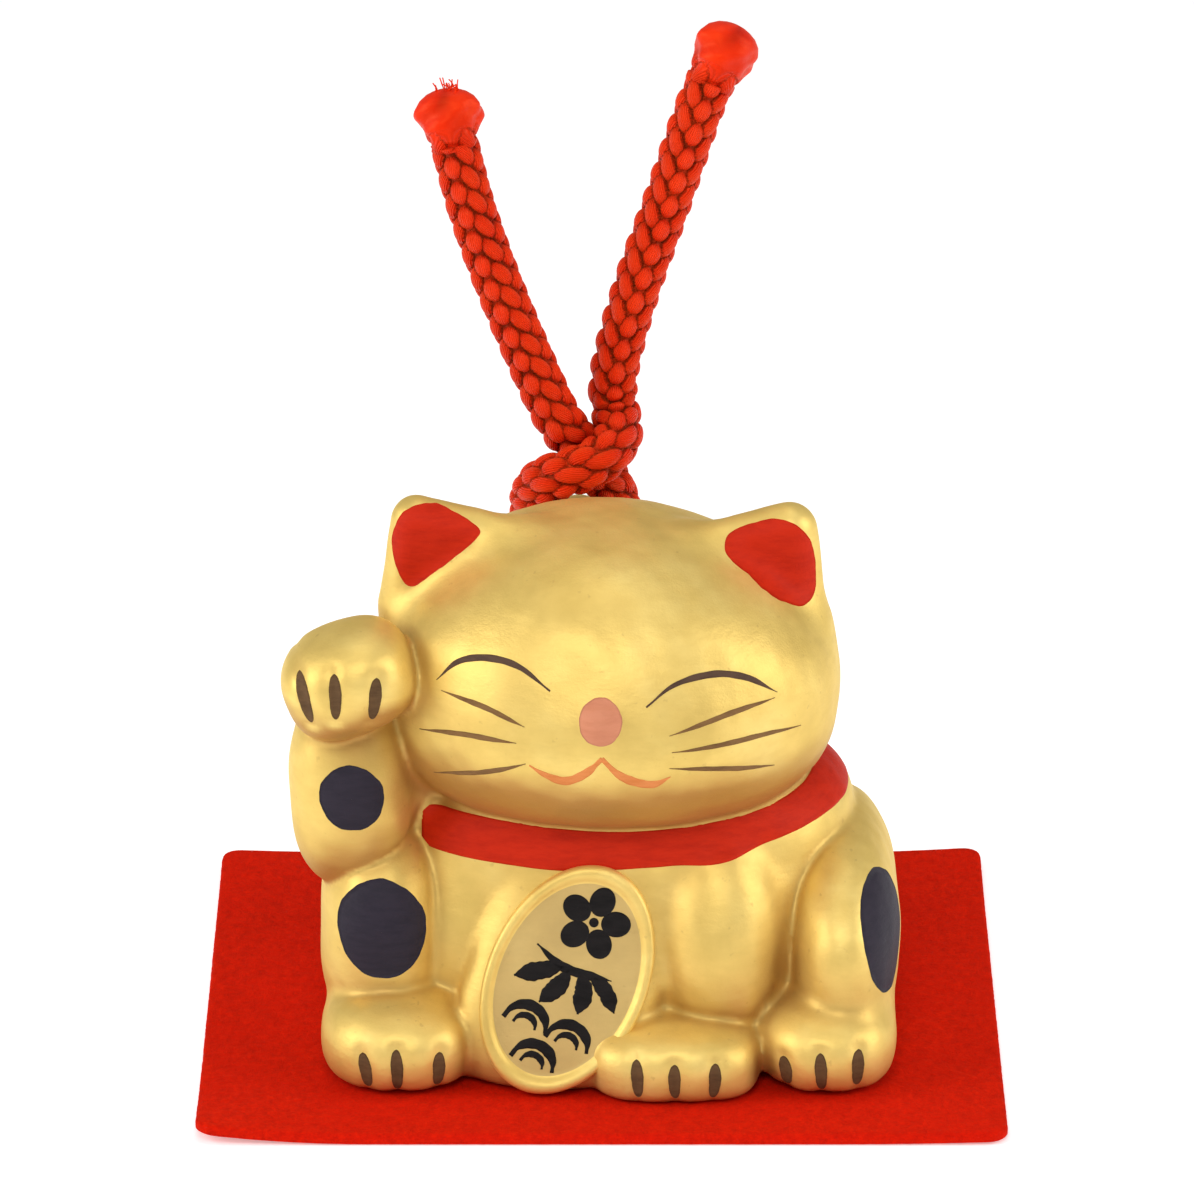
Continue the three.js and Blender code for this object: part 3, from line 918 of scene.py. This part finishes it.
def collar_grid():
    """The collar's band, from one side of the raised arm round the front and the back to its other side."""
    angles = np.linspace(math.radians(COLLAR_FROM), math.radians(COLLAR_TO), COLLAR_ROWS)
    low, high = collar_edges(np.degrees(angles))
    end = np.clip((angles - angles[0]) / 0.045, 0.0, 1)[:, None]
    middle, half = ((low + high) / 2)[:, None], ((high - low) / 2)[:, None]
    half = half * np.sqrt(np.clip(1 - (1 - end) ** 2, 0.4, 1))
    share = np.linspace(-1, 1, COLLAR_COLUMNS)[None]
    round_way = np.broadcast_to(angles[:, None], (COLLAR_ROWS, COLLAR_COLUMNS))
    return np.stack([round_way, middle + half * share], -1), False


def paint_cat(looks):
    red, dark, brown = looks["red_paint"], looks["dark_paint"], looks["brown_paint"]
    eye_left = [(-14.2, 37.2), (-12.3, 39.1), (-9.7, 39.9), (-7.0, 39.6), (-4.4, 38.0)]
    eye_right = [(3.8, 36.8), (6.3, 38.4), (9.7, 38.8), (12.6, 38.0), (15.1, 36.3)]
    lash = looks["eye_paint"]
    paint("eye_left_paint", [stroke(eye_left, 0.5, 60, start=0.1, end=0.3)], lash)
    paint("eye_right_paint", [stroke(eye_right, 0.52, 60, start=0.3, end=0.1)], lash)
    whiskers = {
        "left": [[(-13.8, 36.5), (-10.0, 36.1), (-6.6, 35.0)], [(-15.7, 32.5), (-11.5, 33.5), (-7.3, 33.6)],
                 [(-14.5, 28.4), (-10.4, 30.3), (-6.5, 31.9)]],
        "right": [[(5.8, 34.4), (10.6, 35.5), (14.9, 35.9)], [(6.0, 33.0), (11.9, 33.1), (17.2, 32.6)],
                  [(5.8, 31.6), (10.3, 30.9), (14.9, 29.6)]],
    }
    for side, routes in whiskers.items():
        strokes = [stroke(route, 0.46, 40, start=0.14, end=0.14) for route in routes]
        paint(f"whiskers_{side}_paint", strokes, brown)
    mouth = [stroke([(-6.2, 31.8), (-4.8, 31.0), (-3.1, 30.5), (-1.4, 31.3), (0.05, 32.7)], 0.8, 50, end=0.5),
             stroke([(0.0, 32.7), (1.4, 31.3), (2.9, 30.5), (4.5, 30.2), (5.9, 30.8)], 0.8, 50, start=0.5)]
    paint("mouth_paint", mouth, looks["orange_paint"])
    nose = patch(oval(-0.1, 35.7, 1.85, 1.95), 64, 10, 0.02)
    paint("nose_paint", [nose], looks["pink_paint"])
    ear_left = [(-15.4, 48.8), (-17.1, 48.3), (-17.9, 47.0), (-18.2, 45.3), (-17.9, 43.5), (-17.2, 42.1),
                (-16.3, 41.8), (-14.9, 42.8), (-12.7, 44.5), (-10.9, 46.0), (-10.7, 46.9), (-13.2, 48.3)]
    ear_right = [(10.7, 45.3), (11.1, 46.3), (13.2, 47.2), (15.5, 47.6), (17.1, 47.1), (18.1, 45.7),
                 (18.6, 43.4), (18.5, 41.0), (17.4, 40.4), (15.4, 41.5), (13.0, 43.3), (11.3, 44.5)]
    paint("ear_left_paint", [patch(ear_left, 150, 22, 0.02)], red)
    paint("ear_right_paint", [patch(ear_right, 150, 22, 0.02)], red)
    paint("collar_paint", [collar_grid()], red, neck_carry, proud=0.06)
    paint("spot_arm_paint", [patch(oval(-21.6, 26.3, 2.8, 3.05, 0.3, 8), 72, 10, 0.03)], dark)
    spot_left = patch(oval(-19.1, 14.3, 3.85, 4.35, 0.2, 9), 90, 12, 0.03)
    paint("spot_haunch_left_paint", [spot_left], dark)
    spot_right = patch(oval(0, 0.15, 4.7, 5.1, 0.1, 9), 90, 12, 0.03)
    paint("spot_haunch_right_paint", [spot_right], dark,
          side_carry((24.0, -13.6, 13.0), (-0.66, 0.75, 0)))
    for number, place in enumerate(("raised_paw", "hind_left", "planted_paw", "hind_right")):
        marks = [claw_mark(*route) for route in CLAWS[3 * number:3 * number + 3]]
        paint(f"claws_{place}_paint", marks, looks["claw_paint"], proud=0.1)


def claw_mark(first, middle, last):
    """A short mark that swells in the middle and is round at both ends."""
    line = spline([first, middle, last], 24)
    ahead = unit(np.gradient(line, axis=0))
    side = np.stack([-ahead[:, 1], ahead[:, 0]], -1)
    t = np.linspace(0, 1, 24)[:, None]
    half = CLAW_WIDTH / 2 * np.sqrt(np.maximum(1 - np.abs(2 * t - 1) ** 2.6, 0)) * (1 - 0.25 * t)
    return patch(np.vstack([line + side * half, (line - side * half)[-2:0:-1]]), 60, 9, 0.015)


def side_carry(middle, way):
    """Flat (sideways, up) points about a middle, carried onto the clay along a way of their own."""
    way = unit(np.asarray(way, float))
    sideways = unit(np.cross(way, (0, 0, 1)))

    def carry(flat):
        flat = np.asarray(flat, float)
        start = np.asarray(middle) - way * 12 + flat[:, :1] * sideways + flat[:, 1:] * np.array([0, 0, 1.0])
        return landing(start, way)

    return carry


# ---------------------------------------------------------------- coin, lug, pellet

COIN_SIDES = 160
COIN_PROFILE = [(0.0, -1.2), (0.93, -1.2), (0.99, -0.9), (1.0, -0.2), (1.0, 0.6), (0.99, 0.95), (0.965, 1.16),
                (0.925, 1.2), (0.89, 1.08), (0.865, 0.86), (0.84, 0.76), (0.8, 0.74), (0.4, 0.78), (0.0, 0.8)]


def coin_place(flat, rise):
    """(u, v) points on the coin's face and a height above its middle plane, placed on the belly."""
    local = np.stack([flat[:, 0], -np.broadcast_to(rise, len(flat)), flat[:, 1]], -1)
    return local @ KOBAN_TURN.T + np.array(KOBAN_AT)


def coin_carry(flat):
    flat = np.asarray(flat, float)
    size = np.hypot(flat[:, 0] / KOBAN_SIZE[0], flat[:, 1] / KOBAN_SIZE[1])
    rise = np.interp(size, [p[0] for p in COIN_PROFILE[::-1][:8]], [p[1] for p in COIN_PROFILE[::-1][:8]])
    out = np.broadcast_to(KOBAN_TURN @ np.array([0, -1.0, 0]), (len(flat), 3))
    return coin_place(flat, rise + coin_unevenness(flat)), out


def coin_unevenness(flat):
    return 0.035 * np.sin(0.9 * flat[:, 0] + 0.5 * flat[:, 1]) * np.sin(0.7 * flat[:, 1] + 1)


def make_coin(looks):
    profile = spline([(a * 7, b) for a, b in COIN_PROFILE], 60) / (7, 1)
    turn = np.arange(COIN_SIDES) * 2 * math.pi / COIN_SIDES
    rows = []
    for share, rise in profile:
        share = max(share, 0.0005)
        flat = np.stack([KOBAN_SIZE[0] * share * np.cos(turn), KOBAN_SIZE[1] * share * np.sin(turn)], -1)
        bumps = coin_unevenness(flat) if rise > 0 else 0
        rows.append(coin_place(flat, rise + bumps))
    points = np.vstack(rows)
    points[:, 2] = np.maximum(points[:, 2], REST_Z + 0.02)
    faces = outward(points, grid_faces(len(rows), COIN_SIDES, wrap=True))
    faces = with_caps(faces, len(points), COIN_SIDES, first_way=1)
    values = {"painted_shade": np.zeros(len(points))}
    coin = make_piece("koban_coin_clay", points, faces, looks["matt_gold"], "cat",
                      values, ("koban_coin",))
    coin.data.materials.append(looks["gold_clay"])
    for polygon in coin.data.polygons:
        ring = min(polygon.vertices) // COIN_SIDES
        polygon.material_index = int(0.855 < profile[min(ring, 59)][0] or profile[min(ring, 59)][1] < 0)
    motif(looks)


def petals(u, v, reach, count, turn):
    """Rounded petals round a point, each its own patch."""
    grids = []
    for k in range(count):
        angle = turn + k * 2 * math.pi / count
        at = (u + reach * 0.62 * math.cos(angle), v + reach * 0.62 * math.sin(angle))
        grids.append(patch(oval(*at, reach * 0.42, reach * 0.36, angle), 40, 7))
    return grids


def motif(looks):
    """Brush drawings with no meaning: a blossom, a spray of leaves and three waves."""
    ink = looks["ink_paint"]
    blossom = petals(0.2, 5.5, 3.1, 5, math.pi / 2)
    blossom.append(patch(oval(0.2, 5.5, 0.42, 0.42), 24, 4))
    leaves = [stroke([(-3.6, 1.9), (-0.6, 0.9), (3.6, 1.4)], 0.85, 40),
              stroke([(-0.6, 1.0), (-2.4, -0.1), (-4.4, -1.4)], 1.6, 40),
              stroke([(-0.1, 1.0), (-0.5, -0.8), (-1.5, -2.7)], 1.6, 40),
              stroke([(0.7, 1.0), (1.7, -0.3), (2.0, -2.4)], 1.6, 40),
              stroke([(1.6, 1.1), (3.4, 0.4), (4.9, -1.1)], 1.4, 40)]
    waves = []
    for u, v in ((-1.9, -4.8), (2.1, -5.0), (0.0, -7.7)):
        for size in (1.0, 0.52):
            bow = [(u + 1.95 * size * math.cos(a), v + 1.95 * size * math.sin(a) - 0.4)
                   for a in np.linspace(math.pi * 0.98, math.pi * 0.02, 7)]
            waves.append(stroke(bow, 0.95 if size == 1 else 0.6, 40, start=0.45, end=0.35))
    for part, grids in (("blossom", blossom), ("leaves", leaves), ("waves", waves)):
        paint(f"koban_{part}_paint", grids, ink, coin_carry, proud=0.035)


def make_lug(looks):
    """A flattened rod of clay, bent to a ring on edge and smoothed onto the back of the head."""
    ring, rod, widen, hole_radius, fillet, skin = 4.0, 1.3, 1.5, 2.75, 1.4, 0.04
    low, high, step = np.array([-6.4, 10.6, 29.2]), np.array([2.4, 23.2, 42.8]), 0.2
    counts = np.ceil((high - low) / step).astype(int)
    grid = np.stack(np.meshgrid(*[low[k] + step * np.arange(counts[k]) for k in range(3)], indexing="ij"), -1)

    def form(p):
        q = np.asarray(p, np.float32) - np.array(LUG_AT, np.float32)
        round_way = np.hypot(q[..., 1], q[..., 2]) - ring
        rod_form = (np.hypot(q[..., 0] / widen, round_way) - rod) * 0.9
        foot = cat_form(p)
        spread = meld(rod_form, foot + 0.25, fillet)
        near = np.maximum(spread, rod_form - 1.3)
        hole = hole_radius - np.hypot(q[..., 1], q[..., 2])
        near = np.maximum(near, hole)
        return np.maximum(near, skin - foot) + 0.04 * np.sin(2.2 * q[..., 2] + q[..., 0])

    points, faces = surface_net(form(grid), low, step)
    # The lug gets a little painted shade all over.
    make_piece("cord_lug_clay", points, faces, looks["gold_clay"], "cat",
               {"painted_shade": np.full(len(points), 0.1)}, ("cord_lug",))


PELLET_RADIUS = 3.92


def make_pellet(looks):
    """The clay ball that rattles, rolled by hand, so not quite round."""
    low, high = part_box("rattle_pellet")
    centre = (np.array(low) + np.array(high)) / 2 / MM
    rows, sides = 48, 72
    polar, turn = np.meshgrid(np.linspace(0.001, math.pi - 0.001, rows),
                              np.arange(sides) * 2 * math.pi / sides, indexing="ij")
    way = np.stack([np.sin(polar) * np.cos(turn), np.sin(polar) * np.sin(turn), np.cos(polar)], -1)
    dent = (0.05 * np.sin(3.1 * way[..., 0] + 2) * np.sin(4.3 * way[..., 1])
            + 0.03 * np.sin(7 * way[..., 2] + 5 * way[..., 0]))
    points = (centre + way * (PELLET_RADIUS + dent)[..., None]).reshape(-1, 3)
    faces = outward(points, grid_faces(rows, sides, wrap=True))
    faces = with_caps(faces, len(points), sides)
    make_piece("rattle_pellet_clay", points, faces, looks["bare_clay"], "pellet",
               replaces=("rattle_pellet",))


# ---------------------------------------------------------------- felt mat

MAT_SIZE = (70.0, 60.0)
MAT_CORNER = 1.7


def make_mat(looks):
    """A cut sheet of pressed felt. Its corners lift a little, and its cut edge is slightly uneven."""
    rng = np.random.default_rng(SEED)
    wide, deep = MAT_SIZE[0] / 2, MAT_SIZE[1] / 2
    outline = []
    for k, (sx, sy) in enumerate([(1, 1), (-1, 1), (-1, -1), (1, -1)]):
        for a in np.linspace(0, math.pi / 2, 12):
            angle = k * math.pi / 2 + a
            outline.append((sx * (wide - MAT_CORNER) + MAT_CORNER * math.cos(angle),
                            sy * (deep - MAT_CORNER) + MAT_CORNER * math.sin(angle)))
    closed = np.vstack([outline, outline[0]])
    gone = np.concatenate([[0], np.cumsum(np.linalg.norm(np.diff(closed, axis=0), axis=1))])
    count = 560
    at = np.linspace(0, gone[-1], count, endpoint=False)
    rim = np.stack([np.interp(at, gone, closed[:, k]) for k in range(2)], -1)
    rim = rim * (1 + 0.0003 * rng.normal(size=(count, 1)))
    shares = np.concatenate([np.linspace(0.003, 0.985, 70), [0.993, 0.998, 1.0]])
    drop = np.concatenate([np.zeros(70), [0.03, 0.1, 0.3]])

    def lift(x, y):
        """How far the sheet rises off the table: its corners curl, the front left one most."""
        rise = np.zeros_like(x)
        for sx, sy, high in ((-1, -1, 1.0), (1, -1, 0.25), (-1, 1, 0.3), (1, 1, 0.55)):
            gap = np.hypot(x - sx * wide, y - sy * deep)
            rise += high * np.clip(1 - gap / 15, 0, 1) ** 2
        return rise

    layers = []
    for top in (True, False):
        for share, fall in zip(shares, drop):
            ring = rim * share
            # The fuzz fades out in the middle, where the points crowd together.
            fuzz = 0.03 * rng.normal(size=count) * min(1, share * 5) ** 2 if top and share < 0.99 else 0
            z = lift(ring[:, 0], ring[:, 1]) + ((MAT_THICK - fall + fuzz) if top else fall * 0.6)
            layers.append(np.column_stack([ring, z]))
    half = len(shares)
    points = np.vstack(layers[:half] + layers[half:][::-1])
    faces = outward(points, grid_faces(2 * half, count, wrap=True))
    faces = with_caps(faces, len(points), count)
    mat = make_piece("felt_mat_sheet", points, faces, looks["red_felt"], "mat",
                     replaces=("felt_mat",))


# ---------------------------------------------------------------- stage and lights


def make_stage():
    bpy.ops.mesh.primitive_plane_add(size=6, location=(0, 0, -0.00005))
    floor = bpy.context.object
    floor.name = "floor"
    look = Look("floor", roughness=0.9)
    look.colour((0.93, 0.93, 0.93))
    look.feed(look.shader.inputs["Emission Color"], (1, 1, 1))
    look.feed(look.shader.inputs["Emission Strength"], 0.34)
    floor.data.materials.append(look.material)
    world = bpy.data.worlds.new("studio")
    world.use_nodes = True
    sky = world.node_tree.nodes["Background"]
    sky.inputs["Color"].default_value = (1, 1, 1, 1)
    sky.inputs["Strength"].default_value = 0.24
    bpy.context.scene.world = world
    bpy.context.scene.view_settings.view_transform = "Standard"
    bpy.context.scene.view_settings.look = "None"


def make_lamp(name, place, target, size, power):
    data = bpy.data.lights.new(name, "AREA")
    data.shape = "DISK"
    data.size = size
    data.energy = power
    lamp = bpy.data.objects.new(name, data)
    bpy.context.scene.collection.objects.link(lamp)
    lamp.location = place
    away = np.array(place) - np.array(target)
    turn = math.atan2(away[0], -away[1])
    tip = math.atan2(math.hypot(away[0], away[1]), away[2])
    lamp.rotation_euler = (tip, 0, turn)


def light_scene():
    middle = (0, 0, 0.03)
    make_lamp("left", (-0.6, -0.16, 0.34), middle, 0.5, 2.7)
    make_lamp("right", (0.6, -0.12, 0.32), middle, 0.5, 2.3)
    make_lamp("front", (-0.05, -0.5, 0.52), middle, 0.35, 1.5)
    make_lamp("top", (0.0, 0.1, 0.7), middle, 0.45, 0.75)


# ---------------------------------------------------------------- the whole scene

make_camera()
looks = make_looks()
make_cord(looks)
make_shells(looks)
paint_cat(looks)
make_coin(looks)
make_lug(looks)
make_pellet(looks)
make_mat(looks)
make_stage()
light_scene()
